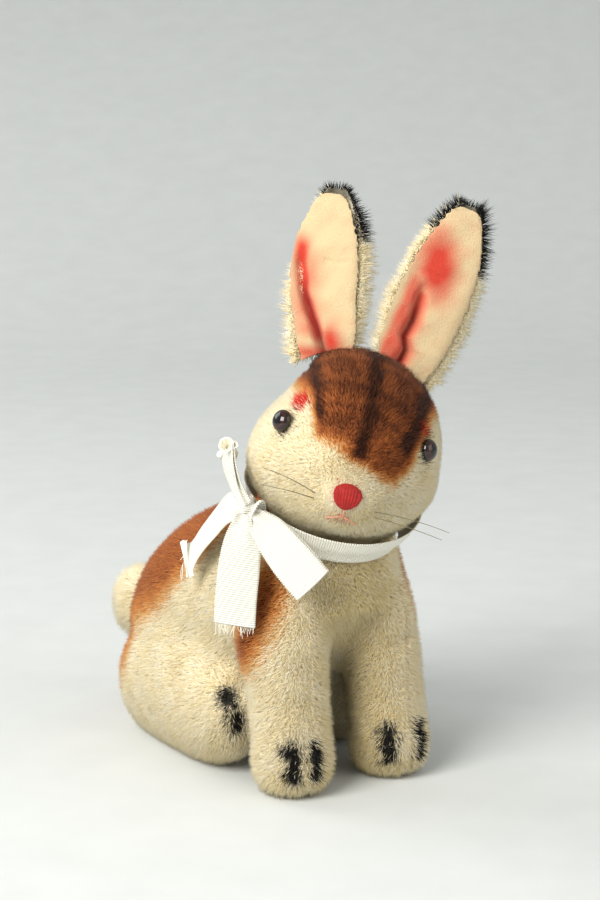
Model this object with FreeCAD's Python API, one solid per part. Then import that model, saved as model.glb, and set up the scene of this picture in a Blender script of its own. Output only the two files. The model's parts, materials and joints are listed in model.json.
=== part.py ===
import FreeCAD, Part
import math
import os

# Sitting plush rabbit, 145 mm tall over the ears, lengths in millimetres, +Z up, facing -Y.
# Mohair plush panels are sewn round a packed stuffing. The head turns on a disc joint:
# two cardboard discs, one in each neck, held together by a split pin and two washers.
# A ribbon is tied round the neck in a bow on the rabbit's right side.

os.makedirs("parts", exist_ok=True)

# Cloth and stuffing
PLUSH = 2.0                  # backing cloth with its pile
VELVETEEN = 0.7              # ear lining
RIBBON = 0.5                 # the ribbon's own thickness in this model
RIBBON_WIDTH = 10.0
SEAM_GAP = 0.3               # between the turning head and anything on the body

# Neck joint: the head turns about an axis that leans forward
NECK_PIVOT = (0.0, 5.7, 65.8)
NECK_LEAN = 24.0
HEAD_TURN = -31.0            # how far the head is turned at rest, towards the rabbit's right
DISC_RADIUS = 12.0
DISC_THICKNESS = 1.5
WASHER_RADIUS = 5.0
WASHER_THICKNESS = 0.8
PIN_RADIUS = 0.9
PIN_HOLE_RADIUS = 1.05
PIN_WIRE = 0.55
PIN_EYE = 1.5                # radius of the pin's eye, inside the head
PIN_CURL = 1.7               # radius of each leg's curl, inside the body
POCKET_RADIUS = 3.4          # room in the head's stuffing round the pin's eye
THREAD_RADIUS = 3.0          # ring of the thread that gathers each neck opening
THREAD_THICKNESS = 0.5

# Head
HEAD_ABOVE_PIVOT = 19.0
HEAD_RADII = (22.6, 24.3, 23.4)
MUZZLE_AT = (0.0, -12.6, -8.4)
MUZZLE_RADII = (12.5, 11.2, 10.5)
GUSSET_HALF = ((-10.0, 3.6), (-5.0, 6.6), (5.0, 9.0), (14.0, 11.2), (40.0, 11.6))
EYE_AT = (17.6, -14.4, 4.7)
EYE_RADIUS = 2.6
EYE_DEPTH = 1.9
SHANK_RADIUS = 0.4
SHANK_LENGTH = 11.0
NOSE_AT = (0.0, -23.2, -8.6)
NOSE_WIDTH = 6.6
NOSE_HEIGHT = 6.2
STITCH_HEIGHT = 0.6
MOUTH_STROKES = (            # (x, z) of each stitch's two ends
    ((0.0, -11.9), (0.0, -13.4)), ((0.0, -13.4), (-3.2, -14.4)), ((0.0, -13.4), (3.4, -14.9)),
)
MOUTH_THREAD = 0.35
WHISKER_ROOT = (7.6, -23.4, -9.4)
WHISKER_TIPS = (             # right side, left side
    ((-22.5, -25.5, -4.2), (-22.0, -26.5, -8.6)),
    ((24.5, -24.0, -10.2), (23.5, -25.0, -12.0)),
)
WHISKER_RADIUS = 0.15

# Ears: cupped ovals, a mohair back outside and a velveteen lining inside
EAR_BASE = (10.4, 0.5, 20.0)
EAR_OUTLINE = (              # (height above the base, half width)
    (-3.0, 7.2), (2.0, 7.9), (10.0, 9.0), (19.0, 9.4),
    (28.0, 8.8), (34.0, 7.4), (38.0, 5.4), (40.5, 3.2),
)
EAR_CUP = 0.42               # depth of the cup as a share of the half width
EAR_LEAST_CUP = 3.0
EAR_BACK = 1.5
LINING_GAP = 0.2
EAR_SPLAY = (6.0, 9.5)       # right ear, left ear
EAR_TILT_BACK = 3.0
EAR_OUTWARD = 12.0

# Body sections along Y: (y, middle height, half width, half height)
TORSO = (
    (-8.5, 53.5, 8.0, 5.0), (-4.0, 51.0, 14.5, 10.5), (4.0, 48.0, 20.0, 16.5),
    (15.0, 45.0, 22.5, 25.0), (30.0, 40.5, 23.5, 28.0), (45.0, 36.0, 24.0, 27.0),
    (60.0, 31.5, 23.0, 25.0), (72.0, 28.0, 19.0, 20.0), (79.5, 26.0, 13.0, 13.5),
    (83.0, 26.0, 5.0, 5.5),
)
# Hind leg and haunch along Y: (y, distance from the middle, middle height, half width, half height)
HAUNCH = (
    (11.5, 19.5, 15.5, 3.0, 4.0), (13.5, 19.5, 15.3, 6.3, 8.4), (19.0, 19.0, 14.8, 9.3, 12.2),
    (28.0, 18.5, 14.2, 10.4, 14.9), (42.0, 18.0, 14.6, 10.8, 16.4), (54.0, 17.4, 14.4, 11.0, 16.4),
    (63.0, 16.8, 14.0, 10.6, 15.2), (69.0, 16.2, 13.2, 8.4, 12.6), (72.3, 15.6, 12.8, 3.4, 6.4),
)
# Foreleg going up: (z, distance from the middle, y of the middle, half width, half depth)
FORELEG = (
    (-0.5, 14.0, 0.0, 6.4, 6.6), (1.6, 14.0, -0.2, 8.6, 8.8), (4.5, 14.0, -0.5, 9.8, 10.4),
    (9.0, 14.0, -0.6, 10.1, 10.8), (17.0, 13.9, 0.4, 9.6, 10.3), (28.0, 13.5, 2.0, 9.5, 10.6),
    (42.0, 12.4, 4.0, 9.0, 11.8), (52.0, 11.0, 5.0, 7.4, 9.8), (58.0, 10.5, 5.5, 3.0, 4.0),
)
NECK_RADIUS = 16.0
NECK_FLARE = 23.0
NECK_DEPTH = 15.0

# Tail, a small stuffed pocket sewn to the rump
TAIL_AT = (-5.2, 91.5, 25.5)
TAIL_RADII = (7.2, 10.5, 10.2)

# Belly gusset: half widths on the legs and at the throat
GUSSET_LEG_HALF = 14.0
GUSSET_THROAT_HALF = 8.0
GUSSET_LEG_TOP = 42.0
GUSSET_REAR = 66.0

# Bow: clear of the turning head all round
COLLAR_LOW = (-2.0, 16.9)    # height along the neck axis, radius
COLLAR_HIGH = (5.2, 21.6)
KNOT_AT = (-24.3, 0.9, 70.2)
KNOT_RADII = (2.2, 3.2, 3.0)
KNOT_WIDTH = 4.5             # width of a run where the knot pinches it
LOOP_THICKNESS = 2.6
# Each ribbon run: its start from the knot's middle, its end, its thickness and where it faces
RIBBON_RUNS = {
    "bow_loop_front": ((-0.6, -0.6, -1.2), (-18.2, -14.6, 55.5), LOOP_THICKNESS, (-0.62, -0.78, 0.0)),
    "bow_loop_back": ((-1.2, 1.0, 1.0), (-25.8, 15.0, 82.0), LOOP_THICKNESS, (-0.9, 0.44, 0.0)),
    "bow_end_front": ((-1.6, -0.4, -1.0), (-27.4, 2.2, 42.0), RIBBON, (-0.85, -0.52, 0.0)),
    "bow_end_back": ((-0.9, 0.6, -0.3), (-27.0, 28.0, 50.0), RIBBON, (-1.0, -0.1, 0.1)),
}


def vec(point):
    return FreeCAD.Vector(*point)


PIVOT = vec(NECK_PIVOT)
LEAN = math.radians(NECK_LEAN)
AXIS = vec((0.0, -math.sin(LEAN), math.cos(LEAN)))
HEAD = PIVOT + AXIS * HEAD_ABOVE_PIVOT
BIG = 400.0


def ellipsoid(centre, radii):
    """An ellipsoid with its axes along X, Y and Z."""
    grow = FreeCAD.Matrix()
    grow.scale(*radii)
    ball = Part.makeSphere(1.0).transformGeometry(grow)
    ball.translate(vec(centre))
    return ball


def oval(centre, across, up, half_across, half_up):
    """A closed elliptical wire round centre, with its two half lengths along the directions given."""
    major, minor = (across, up) if half_across >= half_up else (up, across)
    curve = Part.Ellipse(
        centre + major * max(half_across, half_up), centre + minor * min(half_across, half_up), centre
    )
    return Part.Wire([curve.toShape()])


def loft(wires):
    return Part.makeLoft(wires, True, False)


def shrunk(sections, inset):
    """Sections of a skin's inside: every half length is less by inset, and the two ends come in by it."""
    first, last = sections[0][0] + inset, sections[-1][0] - inset
    kept = [s for s in sections if first < s[0] < last]
    ends = ((first,) + sections[0][1:], *kept, (last,) + sections[-1][1:])
    return [s[:-2] + (max(s[-2] - inset, 1.0), max(s[-1] - inset, 1.0)) for s in ends]


def torso(inset):
    wires = [
        oval(vec((0, y, mid)), vec((1, 0, 0)), vec((0, 0, 1)), half, tall)
        for y, mid, half, tall in shrunk(TORSO, inset)
    ]
    return loft(wires)


def haunch(side, inset):
    wires = [
        oval(vec((side * out, y, mid)), vec((1, 0, 0)), vec((0, 0, 1)), half, tall)
        for y, out, mid, half, tall in shrunk(HAUNCH, inset)
    ]
    return loft(wires)


def foreleg(side, inset):
    wires = [
        oval(vec((side * out, y, z)), vec((1, 0, 0)), vec((0, 1, 0)), half, deep)
        for z, out, y, half, deep in shrunk(FORELEG, inset)
    ]
    return loft(wires)


def neck_cylinder(low, high, radius, inner=0.0):
    """A cylinder on the neck axis between two heights above the pivot."""
    outer = Part.makeCylinder(radius, high - low, PIVOT + AXIS * low, AXIS)
    if not inner:
        return outer
    return outer.cut(Part.makeCylinder(inner, high - low, PIVOT + AXIS * low, AXIS))


def neck_cone(low, high, radius_low, radius_high):
    return Part.makeCone(radius_low, radius_high, high - low, PIVOT + AXIS * low, AXIS)


def above_floor(height):
    return Part.makeBox(BIG, BIG, BIG, vec((-BIG / 2, -BIG / 2, height)))


def above_neck(height):
    return neck_cylinder(height, height + BIG, BIG)


def body_form(inset):
    """The whole stuffed body less inset all round, flat under the feet and at the neck."""
    neck = neck_cone(-NECK_DEPTH, -SEAM_GAP / 2 - inset, NECK_FLARE - inset, NECK_RADIUS - inset)
    form = torso(inset).fuse(neck)
    for side in (-1, 1):
        form = form.fuse(foreleg(side, inset)).fuse(haunch(side, inset))
    return form.common(above_floor(inset)).cut(above_neck(-SEAM_GAP / 2 - inset))


def head_form(inset):
    """The stuffed head less inset all round, facing straight ahead, flat at the neck."""
    skull = ellipsoid(HEAD, [r - inset for r in HEAD_RADII])
    muzzle = ellipsoid(HEAD + vec(MUZZLE_AT), [r - inset for r in MUZZLE_RADII])
    return skull.fuse(muzzle).common(above_neck(SEAM_GAP / 2 + inset))


def prism(points, y_from, y_to):
    """A prism along Y over an outline given as (x, z) points."""
    corners = [vec((x, y_from, z)) for x, z in points]
    face = Part.Face(Part.makePolygon(corners + corners[:1]))
    return face.extrude(vec((0, y_to - y_from, 0)))


def half_space(side):
    return Part.makeBox(BIG / 2, BIG, BIG, vec((0 if side > 0 else -BIG / 2, -BIG / 2, -BIG / 2)))


def rod(start, end, radius):
    """A straight round rod between two points."""
    return Part.makeCylinder(radius, (end - start).Length, start, end - start)


def facing(shape, at, direction):
    """Turns a shape modelled along +Z to face a direction, and moves it to a place."""
    shape.Placement = FreeCAD.Placement(at, FreeCAD.Rotation(vec((0, 0, 1)), direction))
    return shape


def solids(shape, smallest=0.5):
    """The shape's solids as one, without slivers."""
    kept = [s for s in shape.Solids if s.Volume > smallest]
    return kept[0] if len(kept) == 1 else Part.makeCompound(kept)


def neck_hardware():
    """The discs, washers, split pin and gathering threads of the turning neck."""
    skin = SEAM_GAP / 2 + PLUSH
    disc = skin + DISC_THICKNESS
    washer = disc + WASHER_THICKNESS
    hole = PIN_HOLE_RADIUS
    eye_at = washer + SEAM_GAP + 1.9
    shaft = neck_cylinder(-washer - 0.5, washer + SEAM_GAP + 0.6, PIN_RADIUS)
    ring = Part.makeTorus(PIN_EYE, PIN_WIRE, PIVOT + AXIS * eye_at, vec((1, 0, 0)))
    pin = shaft.fuse(ring)
    for side in (-1, 1):
        curl_at = PIVOT + AXIS * (-washer - 2.4) + vec((side * PIN_CURL, 0, 0))
        pin = pin.fuse(Part.makeTorus(PIN_CURL, PIN_WIRE, curl_at, AXIS.cross(vec((1, 0, 0)))))
    thread_low = SEAM_GAP / 2 + PLUSH / 2
    thread = [THREAD_RADIUS, THREAD_RADIUS - THREAD_THICKNESS]
    body = {
        "lower_neck_disc": neck_cylinder(-disc, -skin, DISC_RADIUS, PIN_RADIUS),
        "lower_washer": neck_cylinder(-washer, -disc, WASHER_RADIUS, PIN_RADIUS),
        "neck_split_pin": pin,
        "body_neck_thread": neck_cylinder(-thread_low - THREAD_THICKNESS, -thread_low, *thread),
    }
    head = {
        "upper_neck_disc": neck_cylinder(skin, disc, DISC_RADIUS, hole),
        "upper_washer": neck_cylinder(disc, washer, WASHER_RADIUS, hole),
        "head_neck_thread": neck_cylinder(thread_low, thread_low + THREAD_THICKNESS, *thread),
    }
    pocket = neck_cylinder(SEAM_GAP / 2, washer + 5.0, POCKET_RADIUS)
    return body, head, pocket


def body_nodes(hardware):
    """The plush panels and the stuffing of the body and the tail."""
    form, inner = body_form(0.0), body_form(PLUSH)
    for piece in hardware.values():
        inner = inner.cut(piece)
    skin = form.cut(body_form(PLUSH))
    skin = skin.cut(hardware["neck_split_pin"]).cut(hardware["body_neck_thread"])
    legs = prism(
        ((-GUSSET_LEG_HALF, -5), (GUSSET_LEG_HALF, -5), (GUSSET_LEG_HALF, GUSSET_LEG_TOP),
         (-GUSSET_LEG_HALF, GUSSET_LEG_TOP)), -40.0, GUSSET_REAR
    )
    throat = prism(
        ((-GUSSET_LEG_HALF, GUSSET_LEG_TOP), (GUSSET_LEG_HALF, GUSSET_LEG_TOP),
         (GUSSET_THROAT_HALF, NECK_PIVOT[2] + 5), (-GUSSET_THROAT_HALF, NECK_PIVOT[2] + 5)),
        -40.0, NECK_PIVOT[1] - 6.0,
    )
    belly = legs.fuse(throat)
    tail = ellipsoid(TAIL_AT, TAIL_RADII).cut(form)
    tail_inner = ellipsoid(TAIL_AT, [r - PLUSH for r in TAIL_RADII]).cut(body_form(-PLUSH / 2))
    nodes = {
        "body_stuffing": inner,
        "belly_gusset": skin.common(belly),
        "tail_plush": tail.cut(tail_inner),
        "tail_stuffing": tail_inner,
    }
    for name, side in (("body_side_right", -1), ("body_side_left", 1)):
        nodes[name] = skin.cut(belly).common(half_space(side))
    return nodes


def eye_nodes(side):
    """A glass eye sunk a little into the face, and the wire shank that ties it through the head."""
    out = vec((side * EYE_AT[0] / HEAD_RADII[0] ** 2, EYE_AT[1] / HEAD_RADII[1] ** 2,
               EYE_AT[2] / HEAD_RADII[2] ** 2))
    out.normalize()
    at = HEAD + vec((side * EYE_AT[0], EYE_AT[1], EYE_AT[2]))
    glass = facing(ellipsoid((0, 0, 0), (EYE_RADIUS, EYE_RADIUS, EYE_DEPTH)), at - out * 0.4, out)
    wire = rod(at - out * (SHANK_LENGTH + 1.0), at - out * 1.0, SHANK_RADIUS)
    return glass, wire.cut(glass), glass.fuse(wire)


def ear_shell(pose, inside, thickness):
    """One layer of a cupped ear, lofted up its outline, lying inside the back's outer face by inside."""
    wires = []
    for height, half in EAR_OUTLINE:
        wide, deep = half - inside, max(half * EAR_CUP, EAR_LEAST_CUP) - inside
        top = height - inside if height > EAR_OUTLINE[-2][0] else height
        outer = ((-wide, 0, top), (0, deep, top), (wide, 0, top))
        inner = ((wide - thickness, 0, top), (0, deep - thickness, top), (thickness - wide, 0, top))
        left, back, right = (pose.multVec(vec(p)) for p in outer)
        right_in, back_in, left_in = (pose.multVec(vec(p)) for p in inner)
        wires.append(Part.Wire([
            Part.Arc(left, back, right).toShape(), Part.LineSegment(right, right_in).toShape(),
            Part.Arc(right_in, back_in, left_in).toShape(), Part.LineSegment(left_in, left).toShape(),
        ]))
    return loft(wires)


def ear_nodes(side, head):
    """A cupped ear of two layers, leaning outwards and a little back, its opening turned a little out."""
    base = HEAD + vec((side * EAR_BASE[0], EAR_BASE[1], EAR_BASE[2]))
    pose = FreeCAD.Placement(base, FreeCAD.Rotation(vec((0, 1, 0)), side * EAR_SPLAY[side > 0]))
    for axis, angle in (((1, 0, 0), -EAR_TILT_BACK), ((0, 0, 1), side * EAR_OUTWARD)):
        pose = pose.multiply(FreeCAD.Placement(vec((0, 0, 0)), FreeCAD.Rotation(vec(axis), angle)))
    back = ear_shell(pose, 0.0, EAR_BACK)
    lining = ear_shell(pose, EAR_BACK + LINING_GAP, VELVETEEN)
    return back.cut(head), lining.cut(head)


def face_stitches(head):
    """The satin-stitched nose and the mouth's straight stitches, standing a little proud of the pile."""
    proud = head_form(-STITCH_HEIGHT).cut(head)
    x, _, z = HEAD + vec(NOSE_AT)
    wide, tall = NOSE_WIDTH / 2, NOSE_HEIGHT / 2
    outline = (
        (x - wide * 0.62, z + tall), (x + wide * 0.62, z + tall), (x + wide, z + tall * 0.35),
        (x + wide * 0.72, z - tall * 0.45), (x + wide * 0.2, z - tall), (x - wide * 0.2, z - tall),
        (x - wide * 0.72, z - tall * 0.45), (x - wide, z + tall * 0.35),
    )
    nose = proud.common(prism(outline, HEAD.y - 40.0, HEAD.y))
    mouth = None
    for (x1, z1), (x2, z2) in MOUTH_STROKES:
        long = math.hypot(x2 - x1, z2 - z1)
        nx, nz = -(z2 - z1) / long * MOUTH_THREAD, (x2 - x1) / long * MOUTH_THREAD
        quad = [(HEAD.x + a, HEAD.z + b) for a, b in (
            (x1 + nx, z1 + nz), (x2 + nx, z2 + nz), (x2 - nx, z2 - nz), (x1 - nx, z1 - nz))]
        stroke = prism(quad, HEAD.y - 40.0, HEAD.y)
        mouth = stroke if mouth is None else mouth.fuse(stroke)
    return nose, proud.common(mouth)


def head_nodes(hardware, pocket):
    """Everything that turns with the head, modelled facing straight ahead."""
    form, inner = head_form(0.0), head_form(PLUSH)
    skin = form.cut(inner).cut(neck_cylinder(-1.0, 8.0, PIN_HOLE_RADIUS))
    skin = skin.cut(hardware["head_neck_thread"])
    inner = inner.cut(pocket).cut(hardware["upper_neck_disc"]).cut(hardware["upper_washer"])
    nodes = {}
    for name, side in (("right", -1), ("left", 1)):
        glass, shank, socket = eye_nodes(side)
        skin, inner = skin.cut(socket), inner.cut(socket)
        nodes["eye_" + name], nodes["eye_shank_" + name] = glass, shank
        nodes["ear_back_" + name], nodes["ear_lining_" + name] = ear_nodes(side, form)
    edge = [(HEAD.x + half, HEAD.z + z) for z, half in GUSSET_HALF]
    other_edge = [(2 * HEAD.x - x, z) for x, z in reversed(edge)]
    strip = prism(edge + other_edge, HEAD.y - 60.0, HEAD.y + 60.0)
    nodes["head_gusset"] = skin.common(strip)
    nodes["head_side_right"] = skin.cut(strip).common(half_space(-1))
    nodes["head_side_left"] = skin.cut(strip).common(half_space(1))
    nodes["head_stuffing"] = inner
    nodes["nose_stitches"], nodes["mouth_stitches"] = face_stitches(form)
    for name, side, tips in (("right", -1, WHISKER_TIPS[0]), ("left", 1, WHISKER_TIPS[1])):
        root = HEAD + vec((side * WHISKER_ROOT[0], WHISKER_ROOT[1], WHISKER_ROOT[2]))
        hairs = [
            rod(root + vec((0, 0, -1.2 * i)), HEAD + vec(tip), WHISKER_RADIUS).cut(form)
            for i, tip in enumerate(tips)
        ]
        nodes["whiskers_" + name] = Part.makeCompound([h for hair in hairs for h in hair.Solids])
    nodes.update(hardware)
    return nodes


def flat_ribbon(start, end, thickness, normal):
    """A straight flat run of ribbon, pinched narrow at its start, its width square to where it faces."""
    along = end - start
    across = normal.cross(along).normalize()
    face = along.cross(across).normalize()
    corners = [start - across * (KNOT_WIDTH / 2), start + across * (KNOT_WIDTH / 2),
               end + across * (RIBBON_WIDTH / 2), end - across * (RIBBON_WIDTH / 2)]
    corners = [corner - face * (thickness / 2) for corner in corners]
    return Part.Face(Part.makePolygon(corners + corners[:1])).extrude(face * thickness)


def bow_nodes():
    """The ribbon round the neck, the knot, two loops and two loose ends, all pinched in the knot."""
    (low, r_low), (high, r_high) = COLLAR_LOW, COLLAR_HIGH
    collar = neck_cone(low, high, r_low + RIBBON, r_high + RIBBON)
    collar = collar.cut(neck_cone(low, high, r_low, r_high))
    knot_at = vec(KNOT_AT)
    pieces = {"bow_collar": collar, "bow_knot": ellipsoid(knot_at, KNOT_RADII)}
    for name, (offset, end, thick, faces) in RIBBON_RUNS.items():
        pieces[name] = flat_ribbon(knot_at + vec(offset), vec(end), thick, vec(faces))
    return pieces


body_hardware, head_hardware, pin_pocket = neck_hardware()
body = body_nodes(body_hardware)
body.update(body_hardware)
body.update(bow_nodes())
head = head_nodes(head_hardware, pin_pocket)
for piece in head.values():
    piece.rotate(PIVOT, AXIS, HEAD_TURN)

nodes = {name: solids(shape, 0.01) for name, shape in {**body, **head}.items()}
whole = Part.makeCompound(list(nodes.values())).optimalBoundingBox(False, False)
shift = vec((-whole.Center.x, -whole.Center.y, -whole.ZMin))
for name, shape in nodes.items():
    shape = shape.copy()
    shape.translate(shift)
    shape.exportStep(f"parts/{name}.step")
    state = "valid" if shape.isValid() else "INVALID"
    print(name, len(shape.Solids), "solids", round(shape.Volume), "mm3", state)
joint = PIVOT + shift
print("size", [round(v, 2) for v in (whole.XLength, whole.YLength, whole.ZLength)])
print("neck pivot", [round(v, 3) for v in joint], "axis", [round(v, 5) for v in AXIS])
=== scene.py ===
import json
import math

import bmesh
import bpy
import numpy as np
from mathutils import Matrix, Vector


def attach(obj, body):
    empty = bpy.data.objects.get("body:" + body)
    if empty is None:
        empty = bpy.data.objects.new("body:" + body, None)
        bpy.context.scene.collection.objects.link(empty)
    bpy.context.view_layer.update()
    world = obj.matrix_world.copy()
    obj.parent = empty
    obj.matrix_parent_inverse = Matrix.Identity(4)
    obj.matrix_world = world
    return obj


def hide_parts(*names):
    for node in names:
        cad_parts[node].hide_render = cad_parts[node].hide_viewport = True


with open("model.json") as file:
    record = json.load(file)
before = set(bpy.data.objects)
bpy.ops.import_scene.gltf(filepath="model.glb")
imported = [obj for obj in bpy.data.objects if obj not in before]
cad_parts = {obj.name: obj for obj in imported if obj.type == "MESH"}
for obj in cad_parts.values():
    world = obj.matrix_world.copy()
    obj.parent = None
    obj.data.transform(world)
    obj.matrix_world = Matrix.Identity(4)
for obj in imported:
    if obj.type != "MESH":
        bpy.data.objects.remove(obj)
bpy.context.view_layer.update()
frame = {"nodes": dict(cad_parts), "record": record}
nodes = frame["nodes"]

# The neck joint gives every piece its place: the toy is laid out round it in millimetres, with the
# forefeet at y 0 and the rabbit facing -Y. The head is laid out unturned, round its own middle.
NECK_AT = np.array((0.0, 5.7, 65.8))        # the neck's pivot in the layout
NECK_LEAN = 24.0                            # degrees the axis leans forward
HEAD_TURN = -31.0                           # degrees at rest, towards the rabbit's right
HEAD_ABOVE = 19.0                           # from the pivot up to the head's middle
neck = frame["record"]["behaviour"]["joints"][0]
pivot = Vector(neck["pos_m"])
pivot_mm = np.array(pivot) * 1000
neck_axis = Vector(neck["axis"]).normalized()
layout = pivot_mm - NECK_AT
turn = np.array(Matrix.Rotation(math.radians(HEAD_TURN), 3, neck_axis))
head_middle = pivot_mm + HEAD_ABOVE * np.array(neck_axis)


def on_body(*point):
    return Vector((np.array(point) + layout) / 1000)


def on_head(*point):
    unturned = head_middle + np.array(point) - pivot_mm
    return Vector((turn @ unturned + pivot_mm) / 1000)


def body_place(points):
    """Points of the frame, in metres, as millimetres of the body's layout."""
    return points * 1000 - layout


def head_place(points):
    """Points of the frame, in metres, as millimetres from the middle of the unturned head."""
    return (points * 1000 - pivot_mm) @ turn + pivot_mm - head_middle


def about_neck(points):
    """How high points of the frame lie up the neck's axis from the pivot, and how far from it, in mm."""
    offset = points - np.array(pivot)
    height = offset @ np.array(neck_axis)
    radius = np.linalg.norm(offset - np.outer(height, np.array(neck_axis)), axis=1)
    return height * 1000, radius * 1000


# Camera: a short telephoto a little above the toy, from its front right.
lens, reach = 85.0, 520.0
swing, tip = math.radians(-32.0), math.radians(10.5)
back = Vector((math.sin(swing) * math.cos(tip), -math.cos(swing) * math.cos(tip), math.sin(tip)))
right = Vector((math.cos(swing), math.sin(swing), 0.0))
up = back.cross(right)
AIM_RIGHT, AIM_UP = -9.79, 80.75            # the camera's aim beside and above the layout's origin
aim_mm = back * reach + right * AIM_RIGHT + up * AIM_UP
bpy.ops.object.camera_add(location=on_body(0, 0, 0) + aim_mm / 1000)
camera = bpy.context.object
camera.rotation_euler = back.to_track_quat("Z", "Y").to_euler()
camera.data.lens = lens
camera.data.sensor_width = 36.0
camera.data.sensor_fit = "AUTO"
camera.data.clip_start = 0.01
bpy.context.scene.camera = camera

# A pale sweep of floor that rises into the backdrop, and soft window light from the left.
bpy.ops.object.select_all(action="DESELECT")
bpy.ops.mesh.primitive_plane_add(size=6.0, location=(0.0, 0.0, 0.0))
floor = bpy.context.object
floor.name = "floor"
bpy.ops.object.mode_set(mode="EDIT")
bpy.ops.mesh.subdivide(number_cuts=59)
bpy.ops.object.mode_set(mode="OBJECT")
for corner in floor.data.vertices:
    behind = max(0.0, -(corner.co.x * back.x + corner.co.y * back.y) - 0.7)
    corner.co.z = 0.9 * behind ** 2 / (behind + 0.5)
bpy.ops.object.shade_smooth()


def lamp(name, place, aim, size, power, tint):
    bpy.ops.object.light_add(type="AREA", location=place)
    light = bpy.context.object
    light.name = name
    light.data.size = size
    light.data.energy = power
    light.data.color = tint
    light.rotation_euler = (Vector(place) - Vector(aim)).to_track_quat("Z", "Y").to_euler()


lamp("window", (-0.85, -0.35, 0.70), (0, 0, 0.06), 0.6, 13.4, (1.0, 0.98, 0.945))
lamp("room", (0.5, -1.1, 0.6), (0, 0, 0.06), 1.0, 3.8, (1.0, 0.98, 0.95))
lamp("back", (-0.5, 0.8, 0.7), (0, 0, 0.08), 0.7, 4.0, (1.0, 1.0, 1.0))
world = bpy.data.worlds.new("studio")
bpy.context.scene.world = world
world.use_nodes = True
world.node_tree.nodes["Background"].inputs["Color"].default_value = (0.84, 0.86, 0.85, 1.0)
world.node_tree.nodes["Background"].inputs["Strength"].default_value = 0.52
bpy.context.scene.view_settings.view_transform = "Standard"


class Link:
    """A shader socket that takes part in Python expressions."""

    def __init__(self, finish, socket):
        self.finish, self.socket = finish, socket

    def maths(self, operation, other=None):
        values = [self] if other is None else [self, other]
        return self.finish.node("ShaderNodeMath", {"operation": operation}, *values)

    def __add__(self, other):
        return self.maths("ADD", other)

    def __mul__(self, other):
        return self.maths("MULTIPLY", other)

    __radd__, __rmul__ = __add__, __mul__


class Finish:
    """One material: its Principled shader and the nodes that feed it."""

    def __init__(self, name, base=(0.8, 0.8, 0.8), **settings):
        self.material = bpy.data.materials.new(name)
        self.material.use_nodes = True
        self.tree = self.material.node_tree
        self.shader = self.tree.nodes["Principled BSDF"]
        self.shader.inputs["Base Color"].default_value = (*base, 1.0)
        for socket, value in settings.items():
            self.shader.inputs[socket.replace("_", " ")].default_value = value

    def node(self, kind, settings, *values, out=0, **named):
        """Any node: its type, its settings, then its sockets by place or by name, None to skip one."""
        made = self.tree.nodes.new(kind)
        stops = settings.pop("stops", None)
        for key, value in settings.items():
            setattr(made, key, value)
        if stops:
            while len(made.color_ramp.elements) < len(stops):
                made.color_ramp.elements.new(0.5)
            for element, (place, colour) in zip(made.color_ramp.elements, stops):
                element.position, element.color = place, (*colour, 1.0)
        sockets = dict(enumerate(values)) | {key.replace("_", " "): value for key, value in named.items()}
        for key, value in sockets.items():
            if isinstance(value, Link):
                self.tree.links.new(value.socket, made.inputs[key])
            elif value is not None:
                made.inputs[key].default_value = value
        return Link(self, made.outputs[out])

    def feed(self, socket, link):
        self.tree.links.new(link.socket, self.shader.inputs[socket])

    def places(self):
        return self.node("ShaderNodeTexCoord", {}, out="Object")

    def multiplied(self, colour, other):
        """Two colours multiplied; the Mix node's number and vector sockets come before its colours."""
        mix = {"data_type": "RGBA", "blend_type": "MULTIPLY"}
        return self.node("ShaderNodeMix", mix, 1.0, *[None] * 5, colour, other, out=2)

    def noise(self, where, scale, detail=2.0):
        return self.node("ShaderNodeTexNoise", {}, where, Scale=scale, Detail=detail)

    def tinted(self, mask, low, high):
        return self.node("ShaderNodeValToRGB", {"stops": [(0.0, low), (1.0, high)]}, mask)

    def relief(self, height, distance):
        self.feed("Normal", self.node("ShaderNodeBump", {}, Height=height, Distance=distance))


def paint(red, green, blue):
    """A colour given in everyday 0 to 255 values, as the shader's linear ones."""
    shares = (value / 255 for value in (red, green, blue))
    return tuple(s / 12.92 if s <= 0.04045 else ((s + 0.055) / 1.055) ** 2.4 for s in shares)


cloth_white = Finish("floor_white", paint(232, 234, 232), Roughness=0.85)
floor_grain = cloth_white.noise(cloth_white.places(), 60.0)
cloth_white.feed("Base Color", cloth_white.tinted(
    floor_grain, paint(214, 217, 215), paint(224, 227, 225)))
floor.data.materials.append(cloth_white.material)


# The plush: a mohair pile on a woven cotton cloth. Each tone that the maker airbrushed has its own
# finish, and every fibre takes one of them by where it grows.
SHADES = {
    "cream": (252, 240, 208), "cream_deep": (246, 229, 186), "cream_yellow": (236, 216, 160),
    "tan": (232, 184, 122), "amber": (214, 140, 72), "orange_brown": (172, 98, 50),
    "red_brown": (118, 64, 34), "dark_brown": (62, 33, 19), "black": (24, 22, 21),
    "coral": (216, 42, 28), "pink": (232, 160, 130), "ivory": (255, 249, 230),
}
TONES = list(SHADES)
LEVELS = np.array([0.0, 0.22, 0.42, 0.64, 0.84, 1.0])
LEVEL_TONES = [0, 3, 4, 5, 6, 7]
shades = np.array([paint(*SHADES[name]) for name in TONES])
fibre_finishes = []
for name in TONES:
    strand = Finish(f"mohair_{name}", paint(*SHADES[name]), Roughness=0.7, Sheen_Weight=0.06,
                    Sheen_Roughness=0.4)
    strand.shader.inputs["Specular IOR Level"].default_value = 0.14
    fibre_finishes.append(strand.material)


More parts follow.
